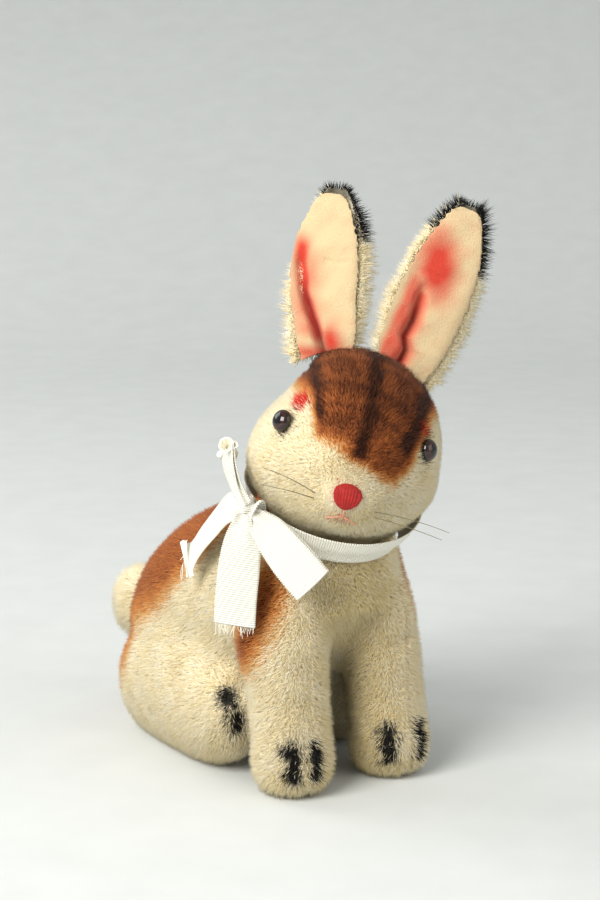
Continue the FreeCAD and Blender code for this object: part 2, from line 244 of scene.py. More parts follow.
def cotton(name):
    """The woven ground of a plush, tinted where it was airbrushed."""
    ground = Finish(name, Roughness=0.95)
    where = ground.places()
    tint = ground.node("ShaderNodeAttribute", {"attribute_name": "tint"})
    mottle = ground.tinted(ground.noise(where, 900.0), (0.72, 0.72, 0.72), (1.0, 1.0, 1.0))
    ground.feed("Base Color", ground.multiplied(tint, mottle))
    ground.relief(ground.noise(where, 1800.0), 0.0004)
    return ground.material


ground_cloth = cotton("plush_ground")


def ease(low, high, values):
    share = np.clip((values - low) / (high - low), 0.0, 1.0)
    return share * share * (3 - 2 * share)


def ripple(points, size, seed=0.0):
    """A soft unevenness from -1 to 1 over points, with lumps of about the size given."""
    x, y, z = (points / size).T
    return (np.sin(1.7 * x + 2.1 * y + seed) * np.cos(1.9 * z - 1.3 * x + 2 * seed)
            + np.sin(2.3 * z + 1.1 * y - seed) * np.cos(2.7 * y + 0.7 * x)) / 2


def array_of(mesh, group, kind, width):
    values = np.empty(len(group) * width)
    group.foreach_get(kind, values)
    return values.reshape(-1, width)


def alone(thing):
    """Makes one object the only selected and active one."""
    bpy.ops.object.select_all(action="DESELECT")
    thing.select_set(True)
    bpy.context.view_layer.objects.active = thing


def settle(thing, kind, **settings):
    """Adds a modifier and applies it."""
    alone(thing)
    made = thing.modifiers.new(kind.lower(), kind)
    for key, value in settings.items():
        setattr(made, key, value)
    bpy.ops.object.modifier_apply(modifier=made.name)


def stuffed(name, parts, voxel, smoothing, inset):
    """One closed form round several solids, rounded as stuffing does, then brought in by inset."""
    copies = []
    for part in parts:
        twin = bpy.data.objects.new(name, nodes[part].data.copy())
        bpy.context.collection.objects.link(twin)
        copies.append(twin)
    alone(copies[0])
    for twin in copies:
        twin.select_set(True)
    bpy.ops.object.join()
    whole = bpy.context.object
    whole.data.materials.clear()
    settle(whole, "REMESH", mode="VOXEL", voxel_size=voxel)
    bpy.ops.object.mode_set(mode="EDIT")
    bpy.ops.mesh.select_all(action="SELECT")
    bpy.ops.mesh.separate(type="LOOSE")
    bpy.ops.object.mode_set(mode="OBJECT")
    shells = sorted(bpy.context.selected_objects, key=lambda s: s.dimensions.length)
    whole = shells.pop()
    for shell in shells:
        bpy.data.objects.remove(shell)
    whole.name = name
    settle(whole, "SMOOTH", factor=0.5, iterations=smoothing)
    settle(whole, "DISPLACE", strength=-inset, mid_level=0.0)
    settle(whole, "SMOOTH", factor=0.5, iterations=2)
    return whole


def ground_tint(piece, tint):
    """Colours a cloth from a function of its points, as a named attribute."""
    points = array_of(piece.data, piece.data.vertices, "co", 3)
    colours = np.ones((len(points), 4))
    colours[:, :3] = tint(points) * 0.8
    layer = piece.data.color_attributes.new("tint", "FLOAT_COLOR", "POINT")
    layer.data.foreach_set("color", colours.ravel())


def panel(name, form, within):
    """One sewn panel of a stuffed form: the faces whose middles pass within."""
    cut = bpy.data.objects.new(name, form.data.copy())
    bpy.context.collection.objects.link(cut)
    work = bmesh.new()
    work.from_mesh(cut.data)
    work.faces.ensure_lookup_table()
    middles = np.array([f.calc_center_median() for f in work.faces])
    inside = within(middles)
    others = [face for face, keep in zip(work.faces, inside) if not keep]
    bmesh.ops.delete(work, geom=others, context="FACES")
    work.to_mesh(cut.data)
    work.free()
    return cut


def pile(name, cloth, density, length, width, comb, tones, seed, body,
         rooted=None, clump=1.1, pull=0.35):
    """Sets a pile of tapered fibres on a cloth: density in fibres per square mm, lengths in mm.
    comb gives the way they lie, tones the finish of each, rooted where they grow and how long;
    fibres that share a clump, in mm, are drawn to its middle by up to pull."""
    mesh = cloth.data
    mesh.calc_loop_triangles()
    points = array_of(mesh, mesh.vertices, "co", 3) * 1000
    normals = array_of(mesh, mesh.vertices, "normal", 3)
    corners = array_of(mesh, mesh.loop_triangles, "vertices", 3).astype(int)
    a, b, c = (points[corners[:, i]] for i in range(3))
    area = np.linalg.norm(np.cross(b - a, c - a), axis=1) / 2
    dice = np.random.default_rng(seed)
    pick = dice.choice(len(area), int(area.sum() * density), p=area / area.sum())
    u, v = dice.random((2, len(pick)))
    fold = u + v > 1
    u[fold], v[fold] = 1 - u[fold], 1 - v[fold]
    weights = np.stack([1 - u - v, u, v], 1)[:, :, None]
    root = (points[corners[pick]] * weights).sum(1)
    grow = (normals[corners[pick]] * weights).sum(1)
    grow /= np.linalg.norm(grow, axis=1)[:, None]
    share = np.ones(len(root)) if rooted is None else rooted(root / 1000, grow)
    kept = share > 0.05
    root, grow, share = root[kept], grow[kept], share[kept]
    tone = tones(root / 1000, dice)
    reach_mm = length * share * (0.72 + 0.5 * dice.random(len(root)))
    lie = comb(root / 1000)
    lie = lie - grow * (lie * grow).sum(1)[:, None]
    swirl = np.stack([ripple(root, 3.4, s) for s in (0.3, 1.9, 4.1)], 1)
    point = grow + lie + 0.17 * swirl + 0.24 * dice.normal(size=root.shape)
    point /= np.linalg.norm(point, axis=1)[:, None]
    end = root + point * reach_mm[:, None]
    warped = root + 0.5 * np.stack([ripple(root, 1.7, s) for s in (0.9, 2.7, 5.3)], 1)
    cells = np.unique(np.floor(warped / clump).astype(int), axis=0, return_inverse=True)[1].ravel()
    count = np.bincount(cells)[:, None]
    gathered = np.stack([np.bincount(cells, end[:, i]) for i in range(3)], 1) / count
    draw = pull * dice.random(len(root))[:, None]
    end = end * (1 - draw) + gathered[cells] * draw
    point = end - root
    point /= np.linalg.norm(point, axis=1)[:, None]
    side = np.cross(point, dice.normal(size=root.shape))
    side /= np.linalg.norm(side, axis=1)[:, None]
    other = np.cross(point, side)
    thick = width / 2 * (0.75 + 0.5 * dice.random(len(root)))[:, None]
    sunk = root - point * 0.35
    thirds = [2 * math.pi * third / 3 for third in range(3)]
    rim = [sunk + thick * (math.cos(t) * side + math.sin(t) * other) for t in thirds]
    corners = np.stack([*rim, end], 1).reshape(-1, 3) / 1000
    first = 4 * np.arange(len(root))[:, None]
    faces = (first + np.array([[0, 1, 3, 1, 2, 3, 2, 0, 3, 0, 2, 1]])).ravel()
    fur = bpy.data.meshes.new(name)
    fur.vertices.add(len(corners))
    fur.vertices.foreach_set("co", corners.ravel())
    fur.loops.add(len(faces))
    fur.loops.foreach_set("vertex_index", faces)
    fur.polygons.add(len(faces) // 3)
    fur.polygons.foreach_set("loop_start", np.arange(0, len(faces), 3))
    used = np.unique(tone)
    for index in used:
        fur.materials.append(fibre_finishes[index])
    fur.polygons.foreach_set("material_index", np.repeat(np.searchsorted(used, tone), 4))
    fur.update(calc_edges=True)
    piece = bpy.data.objects.new(name, fur)
    bpy.context.collection.objects.link(piece)
    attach(piece, body)
    return piece


def toned(level, points, dice, dark=None, coral=None, yellow=None):
    """Picks each fibre's tone: level runs from cream through brown, dark and coral are chances."""
    spread = level + 0.075 * dice.normal(size=len(level)) * (level > 0.03)
    tone = np.array(LEVEL_TONES)[np.abs(spread[:, None] - LEVELS[None, :]).argmin(1)]
    pale = tone == 0
    lot = dice.random(len(level)) + 0.18 * ripple(points * 1000, 5.0)
    # yellow turns pale fibres deeper cream and yellow: partly the chest's own colour, partly painted
    # shade in recesses and underneath
    warm = 0.0 if yellow is None else yellow
    tone[pale & (lot > 0.62 - 0.5 * warm)] = 1
    tone[pale & (lot > 0.93 - 0.6 * warm)] = 2
    tone[pale & (lot < 0.10 - 0.2 * warm)] = 11
    if coral is not None:
        tone[dice.random(len(level)) < coral] = 9
    if dark is not None:
        tone[dice.random(len(level)) < dark] = 8
    return tone


def mixed(level, dark=None, coral=None):
    """The cloth's colour under the pile, from the same levels."""
    ramp = np.stack([np.interp(level, LEVELS, shades[LEVEL_TONES, i]) for i in range(3)], 1)
    for mask, shade in ((coral, 9), (dark, 8)):
        if mask is not None:
            ramp = ramp * (1 - mask[:, None]) + shades[shade] * mask[:, None]
    return ramp


# The body: three plush panels, a side on the left and the right and a gusset underneath that runs
# down the inside of the legs, sewn with the pile inwards, turned and packed hard with wood wool.
def body_level(p):
    """How far the airbrush took the body from cream to brown: the back, the rump and the shoulders."""
    x, y, z = p.T
    edge = (z - 55.5) + 0.97 * (y - 25.0) + 2.0 * ripple(p, 9.0)
    middle = np.abs(x) - np.interp(z, (20, 60), (14.0, 24.0))
    saddle = 0.62 * ease(-3.0, 12.0, edge) * (1 - 0.7 * ease(0.0, 9.0, middle)) * ease(8.0, 26.0, z)
    nape = 0.24 * ease(56.0, 66.0, z) * ease(6.0, 16.0, y)
    line = 1.0 + (52.0 - z) * 0.38
    shoulder = np.exp(-((y - line) / 5.6) ** 2) * ease(13.5, 19.0, np.abs(x) + 0.6 * ripple(p, 4.0))
    shoulder = 0.66 * shoulder * ease(24.0, 36.0, z) * (1 - ease(56.0, 62.0, z))
    rump = y + 0.18 * (z - 20.0) + 1.5 * ripple(p, 7.0)
    rear = 0.56 * ease(7.0, 20.0, z) * ease(57.0, 69.0, rump)
    return np.clip(np.maximum(np.maximum(saddle + nape, shoulder), rear), 0.0, 1.0)


def body_dark(p):
    """The black airbrushed claws: two strokes up the front of each forepaw and on each hind foot."""
    x, y, z = p.T
    strokes = np.zeros(len(p))
    for at in (-18.3, -13.2, 9.2, 17.0):
        across = np.exp(-((x - at + 0.6 * ripple(p, 2.0)) / 1.75) ** 2)
        tall = ease(4.2, 6.4, z) * (1 - ease(13.0, 17.0, z))
        strokes = np.maximum(strokes, across * tall * ease(2.0, -3.0, y))
    for side in (-1, 1):
        for height, out, half in ((21.0, 23.0, 2.8), (15.5, 21.5, 3.4)):
            away = ((side * x - out) / 2.0) ** 2 + ((z - height) / half) ** 2
            hind = ease(19.0, 15.0, y) * ease(9.5, 10.5, y)
            strokes = np.maximum(strokes, np.exp(-away) * hind * 1.2)
    return np.clip(strokes * 1.15 - 0.08, 0.0, 0.95)


# The chest's own yellowish cream, deepened by painted shade between the legs and towards the floor.
def body_yellow_and_shade(p):
    x, y, z = p.T
    return ease(14.0, 5.0, np.abs(x)) * ease(16.0, -2.0, y) * 0.9 + 0.35 * ease(12.0, 2.0, z)


def body_tones(points, dice):
    p = body_place(points)
    return toned(body_level(p), points, dice, body_dark(p), None, body_yellow_and_shade(p))


def body_tint(points):
    p = body_place(points)
    return mixed(body_level(p), body_dark(p))


def body_comb(points):
    """The pile lies back and down the body."""
    p = body_place(points)
    return np.stack([0.10 * np.sign(p[:, 0]), 0.28 + 0.0 * p[:, 0], -0.42 + 0.0 * p[:, 0]], 1)


def gusset_half(height):
    """Half the gusset's width up the chest and throat."""
    return np.interp(height, (42.0, 70.8), (14.0, 8.0))


def body_growth(points, normals):
    """No pile under the collar or on the neck's flat, and a short one on the soles."""
    height, radius = about_neck(points)
    clear = np.clip((-height - 0.4) / 2.4, 0.0, 1.0)
    share = np.where((height > -4.5) & (radius < 26.0), clear, 1.0)
    x, y, z = body_place(points).T
    share = np.where(z < 1.0, 0.4, share)
    seam = np.abs(x) - gusset_half(z)
    return share * (1 - 0.45 * np.exp(-(seam / 0.55) ** 2) * (y < 66.0))


body_parts = ["body_side_right", "body_side_left", "belly_gusset", "body_stuffing"]
body_form = stuffed("body_form", body_parts, 0.0013, 12, 0.0015)
points = array_of(body_form.data, body_form.data.vertices, "co", 3)
x, y, z = body_place(points).T
groove = np.exp(-((z - 28.5 - 0.05 * (y - 40)) / 4.2) ** 2)
groove *= ease(14.0, 19.0, np.abs(x)) * ease(18.0, 28.0, y) * ease(74.0, 62.0, y)
points[:, 0] += np.sign(x) * 0.0015 * groove
thigh = np.exp(-((z - 36.0) / 11.0) ** 2 - ((y - 8.0) / 7.0) ** 2) * ease(9.0, 15.0, np.abs(x))
points[:, 0] += np.sign(x) * 0.0020 * thigh
points[:, 1] += 0.0016 * thigh
crease = np.exp(-((z - 35.5 - 0.15 * (x - 14)) / 1.3) ** 2) * ease(8.0, 11.0, x) * ease(6.0, 2.0, y)
points[:, 1] += 0.0009 * crease
body_form.data.vertices.foreach_set("co", points.ravel())
settle(body_form, "SMOOTH", factor=0.5, iterations=3)


def under(points):
    """Whether points lie on the gusset: inside the legs, under the belly and up the throat."""
    x, y, z = body_place(points).T
    return (np.abs(x) < gusset_half(z)) & np.where(z < 42.0, y < 66.0, y < -0.3)


panels = {
    "body_side_right": lambda p: ~under(p) & (body_place(p)[:, 0] < 0),
    "body_side_left": lambda p: ~under(p) & (body_place(p)[:, 0] >= 0),
    "belly_gusset": under,
}
density = 11.3
for seed, (node, within) in enumerate(panels.items()):
    cloth = panel("plush_" + node, body_form, within)
    ground_tint(cloth, body_tint)
    cloth.data.materials.clear()
    cloth.data.materials.append(ground_cloth)
    halves = ((lambda p, n: body_growth(p, n) * (body_place(p)[:, 2] >= 27), "_upper"),
              (lambda p, n: body_growth(p, n) * (body_place(p)[:, 2] < 27), "_lower"))
    for step, (growth, part) in enumerate(halves):
        fur = pile("pile_" + node + part, cloth, density, 2.2, 0.225, body_comb, body_tones,
                   10 * seed + step, "body", growth, 0.8, 0.22)
        "mohair_body" if "side" in node else "mohair_belly"
    settle(cloth, "SOLIDIFY", thickness=0.0006, offset=-1.0)
    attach(cloth, "body")
    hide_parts(node)
    "mohair_body" if "side" in node else "mohair_belly"

# The wood wool that fills the body, packed hard against the cloth.
wood_wool = Finish("wood_wool", Roughness=0.9)
wool_place = wood_wool.node("ShaderNodeMapping", {}, wood_wool.places(), Scale=(300, 90, 300))
wool_strands = wood_wool.noise(wool_place, 8.0, 4.0)
wood_wool.feed("Base Color", wood_wool.tinted(
    wool_strands, paint(150, 118, 74), paint(226, 200, 150)))
wood_wool.relief(wool_strands, 0.0006)


def filling(name, form, node, body):
    """The stuffing inside a cloth form, a little smaller than it."""
    core = bpy.data.objects.new(name, form.data.copy())
    bpy.context.collection.objects.link(core)
    core.data.materials.clear()
    core.data.materials.append(wood_wool.material)
    settle(core, "DISPLACE", strength=-0.0012, mid_level=0.0)
    settle(core, "DECIMATE", ratio=0.3)
    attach(core, body)
    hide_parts(node)


filling("wood_wool_body", body_form, "body_stuffing", "body")
bpy.data.objects.remove(body_form)

# The tail: a small pocket of cream plush, stuffed and sewn to the rump by hand.
tail_form = stuffed("tail_form", ["tail_plush", "tail_stuffing"], 0.0009, 4, 0.0015)


def tail_comb(points):
    p = body_place(points)
    return np.stack([0.0 * p[:, 0], 0.4 + 0.0 * p[:, 0], -0.3 + 0.0 * p[:, 0]], 1)


tail_cloth = panel("plush_tail", tail_form, lambda p: body_place(p)[:, 1] > 0)
ground_tint(tail_cloth, lambda p: mixed(np.zeros(len(p))))
tail_cloth.data.materials.append(ground_cloth)
tail_fur = pile("pile_tail", tail_cloth, 15.0, 3.2, 0.22, tail_comb,
                lambda p, dice: toned(0.0 * p[:, 0], p, dice), 71, "body", None, 1.4, 0.3)
settle(tail_cloth, "SOLIDIFY", thickness=0.0006, offset=-1.0)
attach(tail_cloth, "body")
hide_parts("tail_plush")
filling("wood_wool_tail", tail_form, "tail_stuffing", "body")
bpy.data.objects.remove(tail_form)

# The head: two side panels and a gusset from the nose over the crown, stuffed round, with the
# muzzle drawn in. The crown was airbrushed brown with three darker stripes.
head_parts = ["head_side_right", "head_side_left", "head_gusset", "head_stuffing"]
head_form = stuffed("head_form", head_parts, 0.0010, 9, 0.0013)
points = array_of(head_form.data, head_form.data.vertices, "co", 3)
x, y, z = head_place(points).T
temple = np.exp(-((z - 11.5) / 8.0) ** 2 - ((y - 1.0) / 14.0) ** 2) * ease(6.0, 13.0, np.abs(x))
cheek = np.exp(-((z + 8.5) / 6.0) ** 2 - ((y + 3.0) / 11.0) ** 2) * ease(7.0, 16.0, np.abs(x))
sideways = (1.6 * np.sign(x) * cheek + np.where(x < 0, 4.8, 0.0) * temple) / 1000
points += np.outer(sideways, turn @ np.array((1.0, 0.0, 0.0)))
head_form.data.vertices.foreach_set("co", points.ravel())
settle(head_form, "SMOOTH", factor=0.5, iterations=2)


def stripe_near(p, points, width):
    """How near points are to a line of (x, z) from the top down, from 0 to 1."""
    xs, zs = zip(*reversed(points))
    at = np.interp(p[:, 2], zs, xs)
    return np.exp(-((p[:, 0] - at + 0.5 * ripple(p, 3.0)) / width) ** 2)


def head_level(p):
    x, y, z = p.T
    wave = ripple(p, 4.5)
    low = np.interp(x, (-12.0, -8.0, -3.0, 0.0, 4.0, 9.0, 13.0, 16.0),
                    (5.5, 3.2, 1.4, 0.0, -2.0, -4.2, -3.8, 1.5))
    front = ease(-2.4, 3.8, z - low + 1.5 * wave + 0.8 * ripple(p, 1.4, 0.7))
    right_edge = np.interp(z, (-5.0, 4.0, 11.0, 20.0, 24.0), (-8.0, -9.4, -11.0, -12.2, -12.5))
    left_edge = np.interp(z, (-5.0, 4.0, 17.0, 24.0), (10.0, 13.5, 18.0, 20.0))
    across = ease(-0.8, 1.2, x - right_edge) * ease(2.0, -2.0, x - left_edge + 0.8 * wave)
    patchy = 0.10 * ripple(p, 3.2, 1.3) + 0.07 * ripple(p, 1.3, 2.1)
    crown = front * across * (0.72 + 0.08 * ease(4.0, 16.0, z) + 1.3 * patchy)
    temple = 0.66 * ease(-20.0, -13.0, x) * ease(9.0, 14.0, z) * (y > -16)
    behind = ease(0.0, 6.0, y) * ease(16.0, 11.0, np.abs(x - 1.0)) * ease(-14.0, -6.0, z) * 0.7
    stripes = np.maximum.reduce([
        stripe_near(p, ((15.2, 17.2), (10.9, 4.3)), 1.7) * ease(0.5, 5.5, z),
        stripe_near(p, ((2.2, 23.4), (0.5, -0.1)), 1.5) * ease(-2.0, 3.0, z),
        stripe_near(p, ((-11.6, 20.0), (-10.4, 11.3), (-8.9, 3.9)), 1.3) * ease(1.5, 6.0, z),
    ]) * (y < 8)
    level = np.maximum(np.maximum(crown, temple), behind)
    return np.clip(level + 0.42 * stripes * (0.85 + 0.4 * wave), 0.0, 1.0)


def head_dark(p):
    x, y, z = p.T
    sideways = np.hypot(np.abs(x) - 17.4, y + 14.6)
    lash = np.exp(-(sideways / 2.2) ** 2) * np.exp(-((z - 5.2) / 4.0) ** 4)
    return np.clip(1.3 * lash, 0.0, 0.85) * (y < 0)


def head_coral(p):
    x, y, z = p.T
    spot_right = np.exp(-((x + 13.9) / 2.1) ** 2 - ((z - 9.6) / 2.1) ** 2 - ((y + 13.8) / 4.2) ** 2)
    spot_left = 0.6 * np.exp(-((y + 13.4) / 1.3) ** 2 - ((z - 8.6) / 1.6) ** 2) * (x > 8)
    nose = 0.45 * np.exp(-(np.linalg.norm(p - (0.0, -22.7, -8.7), axis=1) / 4.0) ** 2)
    mouth = 0.35 * np.exp(-(x / 3.4) ** 2 - ((z + 14.0) / 1.1) ** 2) * (y < -10)
    return np.clip(1.6 * np.maximum(spot_right, spot_left) - 0.12 + nose + mouth, 0.0, 0.94)


def head_tones(points, dice):
    p = head_place(points)
    # painted shade: pale fibres turned deeper cream and yellow on the underside of the muzzle and chin
    yellow = 0.35 * ease(-6.0, -16.0, p[:, 2])
    return toned(head_level(p), points, dice, head_dark(p), head_coral(p), yellow)


def head_tint(points):
    p = head_place(points)
    return mixed(head_level(p), head_dark(p), head_coral(p))


def head_comb(points):
    """The pile lies back from the nose all round the face."""
    p = head_place(points)
    away = p - np.array((0.0, -27.0, -8.0))
    away /= np.linalg.norm(away, axis=1)[:, None]
    return (0.62 - 0.4 * ease(12.0, 20.0, p[:, 2]))[:, None] * (away @ turn.T)


def strip_half(height):
    """Half the width of the gusset that runs from the nose over the crown."""
    return np.interp(height, (-10.0, -5.0, 5.0, 14.0, 40.0), (3.6, 6.6, 9.0, 11.2, 11.6))


COLLAR_ROOM = 18.9                          # how far the fur may reach 3 mm up the neck
COLLAR_FLARE = 0.65                         # and how much further for each mm above that


def head_growth(points, normals):
    """No pile on the neck's flat, on the eyes and under the nose's stitches, short round them, and
    long under the chin, where it fills the room inside the collar."""
    p = head_place(points)
    height, radius = about_neck(points)
    eye = np.hypot(np.hypot(np.abs(p[:, 0]) - 17.6, p[:, 1] + 14.4), p[:, 2] - 4.7)
    nose = np.hypot(p[:, 0], p[:, 2] + 8.6) + 30 * (p[:, 1] > -10)
    seam = np.abs(p[:, 0]) - strip_half(p[:, 2])
    length = np.interp(eye, (1.8, 2.3, 3.2, 6.0), (0.0, 0.8, 1.1, 1.0))
    length = length * np.interp(nose, (2.4, 2.9, 7.0), (0.0, 0.4, 1.0))
    length = length * np.interp(p[:, 2], (-14.0, 6.0, 16.0), (0.85, 0.9, 1.15))
    length = length * (1 - 0.4 * np.exp(-(seam / 0.5) ** 2))
    length = length * np.clip((height - 0.6) / 2.0, 0.0, 1.0)
    length = length * np.interp(height, (3.0, 8.0), (1.1, 1.0))
    room = COLLAR_ROOM + COLLAR_FLARE * (height - 3.0) - radius
    spare = np.clip((room - 0.6) / 2.3, 0.0, 1.4) * ease(3.0, 5.0, height) * ease(12.0, 9.0, height)
    return np.maximum(length, spare)


def crown_strip(points):
    x, _, z = head_place(points).T
    return np.abs(x) < strip_half(z)


panels = {
    "head_side_right": lambda p: ~crown_strip(p) & (head_place(p)[:, 0] < 0),
    "head_side_left": lambda p: ~crown_strip(p) & (head_place(p)[:, 0] >= 0),
    "head_gusset": crown_strip,
}
for seed, (node, within) in enumerate(panels.items()):
    cloth = panel("plush_" + node, head_form, within)
    ground_tint(cloth, head_tint)
    cloth.data.materials.append(ground_cloth)
    fur = pile("pile_" + node, cloth, 16.5, 1.9, 0.205, head_comb, head_tones,
               100 + seed, "head", head_growth, 0.9, 0.35)
    settle(cloth, "SOLIDIFY", thickness=0.0005, offset=-1.0)
    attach(cloth, "head")
    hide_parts(node)
    for piece in (cloth, fur):
        "mohair_crown" if node == "head_gusset" else "mohair_head"
filling("wood_wool_head", head_form, "head_stuffing", "head")
bpy.data.objects.remove(head_form)

# The ears: a mohair back and a velveteen lining, sewn together, turned and sewn to the crown. The
# lining was airbrushed coral and folds into a crease up from the base; the backs end in black.
velveteen = Finish("velveteen", Roughness=0.9, Sheen_Weight=0.08, Sheen_Roughness=0.5)
nap_place = velveteen.places()
nap = velveteen.noise(nap_place, 2600.0, 3.0)
nap_tint = velveteen.node("ShaderNodeAttribute", {"attribute_name": "tint"})
nap_shade = velveteen.tinted(nap, (0.86, 0.85, 0.83), (1.0, 1.0, 1.0))
velveteen.feed("Base Color", velveteen.multiplied(nap_tint, nap_shade))
velveteen.relief(nap + 0.6 * velveteen.noise(nap_place, 500.0), 0.00025)


def ear_frame(side):
    """The turn of one ear on the head: splayed, tilted back and opened outwards."""
    splay, tilt, outward = (9.5 if side > 0 else 6.0) * side, -3.0, 12.0 * side
    turned = Matrix.Identity(3)
    for angle, about in ((splay, "Y"), (tilt, "X"), (outward, "Z")):
        turned = turned @ Matrix.Rotation(math.radians(angle), 3, about)
    return np.array(turned)


def ear_place(points, side):
    """Points of the frame as millimetres across, behind and up one ear from its base."""
    return (head_place(points) - (side * 10.4, 0.5, 20.0)) @ ear_frame(side)


def ear_half(height):
    """Half the ear's width at a height."""
    return np.interp(height, (0.0, 10.0, 19.0, 28.0, 36.0, 41.0), (7.6, 8.8, 9.2, 8.6, 6.2, 3.0))


def crease_at(height, side):
    """Where the lining's crease runs across the ear at a height."""
    if side < 0:
        return np.interp(height, (0.0, 9.0, 15.0, 24.0), (0.0, -2.9, -4.3, -5.6))
    return np.interp(height, (0.0, 5.0, 8.0, 12.0, 20.0), (-1.2, -0.8, -2.3, -1.9, -2.8))


def lining_relief(p, side):
    """How far the lining stands forward of the back: full beside the crease, tight in it."""
    x, _, z = p.T
    room = np.clip(1 - (np.abs(x) / (0.92 * ear_half(z))) ** 2, 0.0, 1.0) ** 0.8
    top = 24.0 if side < 0 else 20.0
    crease = np.exp(-((x - crease_at(z, side)) / 1.0) ** 2) * ease(top + 1.5, top - 4.0, z)
    cross = 0.25 * np.exp(-((z - 22.5) / 0.6) ** 2) * (side * x < 0)
    full = np.interp(z, (0.0, 6.0, 26.0, 40.0), (1.8, 3.6, 2.8, 0.8)) + 0.4 * ripple(p, 4.0)
    return room * full * (1 - 0.95 * crease) - cross * room


def lining_tint(points, side):
    """The lining's colours: coral along the crease and in patches beside it, on cream; painted shade
    darkens the crease and the edges.
    """
    p = ear_place(points, side)
    x, _, z = p.T
    x = x - np.interp(z, SPREAD[side][0], SPREAD[side][2])
    soft = 0.5 * ripple(p, 6.0)
    line = np.exp(-((x - crease_at(z, side)) / 2.0) ** 2)
    if side < 0:
        coral = 1.0 * line * ease(29.5, 25.0, z + soft) * ease(1.0, 5.0, z)
        beside = np.exp(-((x + 4.2) / 3.4) ** 2) * ease(28.0, 20.0, z) * ease(2.0, 7.0, z)
        coral = np.maximum(coral, 0.6 * beside)
        coral = np.maximum(coral, 0.95 * np.exp(-((x - 1.4) / 2.8) ** 2 - ((z - 3.6) / 4.2) ** 2))
        coral = np.maximum(coral, 0.8 * np.exp(-((z - 0.5) / 2.0) ** 2))
    else:
        away = ((x + 2.2 + 0.25 * (z - 26.0)) / 5.4) ** 2 + ((z - 26.0 + 2 * soft) / 8.6) ** 2
        coral = np.exp(-away ** 1.4)
        beside = ease(1.2, -1.4, x - crease_at(z, side)) * ease(-8.6, -6.2, x) * ease(26.0, 20.0, z)
        coral = np.maximum(coral, 0.80 * beside)
        coral = np.maximum(coral, 0.85 * line * ease(22.0, 18.0, z))
        coral = np.maximum(coral, 0.9 * np.exp(-((x + 3.8) / 2.2) ** 2 - ((z - 3.0) / 3.6) ** 2))
    coral = np.clip(coral + 0.10 * ripple(p, 2.2), 0.0, 0.95)[:, None]
    # painted shade: a narrow dark red line in the bottom of the crease, fading out above 12 to 20 mm
    deep = 0.8 * (np.exp(-((x - crease_at(z, side)) / 0.5) ** 2) * ease(20.0, 12.0, z))[:, None]
    # painted shade: the cream darkened by up to a quarter towards both edges, where the lining curves
    # away
    cream = np.array(paint(226, 200, 156)) * (1 - 0.25 * ease(5.5, 8.8, np.abs(x)))[:, None]
    sprayed = cream * (1 - coral) + np.array(paint(212, 40, 20)) * coral
    return sprayed * (1 - deep) + np.array(paint(92, 12, 6)) * deep


def ear_tones(side):
    def tones(points, dice):
        p = ear_place(points, side)
        x, _, z = p.T
        start = np.where(x > 0, 26.5, 33.0 if side > 0 else 37.0) + 0.8 * ripple(p, 3.0)
        return toned(0.0 * x, points, dice, 0.96 * ease(start, start + 2.0, z))
    return tones


def ear_comb(side):
    def comb(points):
        """The back's pile spreads out to both edges and a little up the ear."""
        p = ear_place(points, side)
        out, rise = 0.9 * np.clip(p[:, 0] / 5.0, -1, 1), 0.18 + 0.5 * ease(34.0, 40.0, p[:, 2])
        lie = np.stack([out, 0.15 + 0 * out, rise], 1)
        return lie @ ear_frame(side).T @ turn.T
    return comb


def ear_growth(side):
    def growth(points, normals):
        p = ear_place(points, side)
        facing_back = (normals @ turn @ ear_frame(side))[:, 1]
        rim = ease(0.55, 0.9, np.abs(p[:, 0]) / ear_half(p[:, 2]))
        length = np.where(facing_back > -0.6, 0.62 + 0.6 * rim, 0.55 * (rim > 0.15))
        hidden = ease(16.0, 24.0, p[:, 2]) * (p[:, 0] < 0) * (rim > 0.2)
        hidden = hidden * (0.8 if side < 0 else 0.25)
        return length * np.where(head_place(points)[:, 2] < 18.5, 0.5, 1.0) * (1 - hidden)
    return growth


# How each lining is stretched over its back: heights, shares of its width, and shifts across in mm.
SPREAD = {
    -1: ((0, 7, 14, 22, 30, 33.5, 37, 40.5), (1.14, 1.12, 1.10, 1.10, 1.04, 0.98, 0.88, 0.74),
         (1.2, 0.6, -0.7, -1.1, -1.1, -1.0, -0.9, -0.8)),
    1: ((0, 9, 13, 20.6, 28, 34, 38.5, 43), (1.24, 1.28, 1.28, 1.22, 1.16, 1.10, 1.02, 0.92),
        (-1.6, -1.3, -1.1, -0.7, -0.3, -0.2, -0.2, -0.3)),
}


def widen(piece, side, share, taller):
    """Stretches an ear's layer up by taller mm at the tip, and across as its lining is stretched."""
    points = array_of(piece.data, piece.data.vertices, "co", 3)
    local = ear_place(points, side)
    heights, widths, shifts = SPREAD[side]
    level = local[:, 2] + taller * ease(4.0, 41.0, local[:, 2])
    across = local[:, 0] * (np.interp(level, heights, widths) * share - 1.0)
    if share == 1.0:
        across += np.interp(level, heights, shifts)
    points += np.outer(across / 1000, turn @ ear_frame(side) @ np.array((1.0, 0.0, 0.0)))
    upwards = turn @ ear_frame(side) @ np.array((0.0, 0.0, 1.0))
    points += np.outer((level - local[:, 2]) / 1000, upwards)
    piece.data.vertices.foreach_set("co", points.ravel())


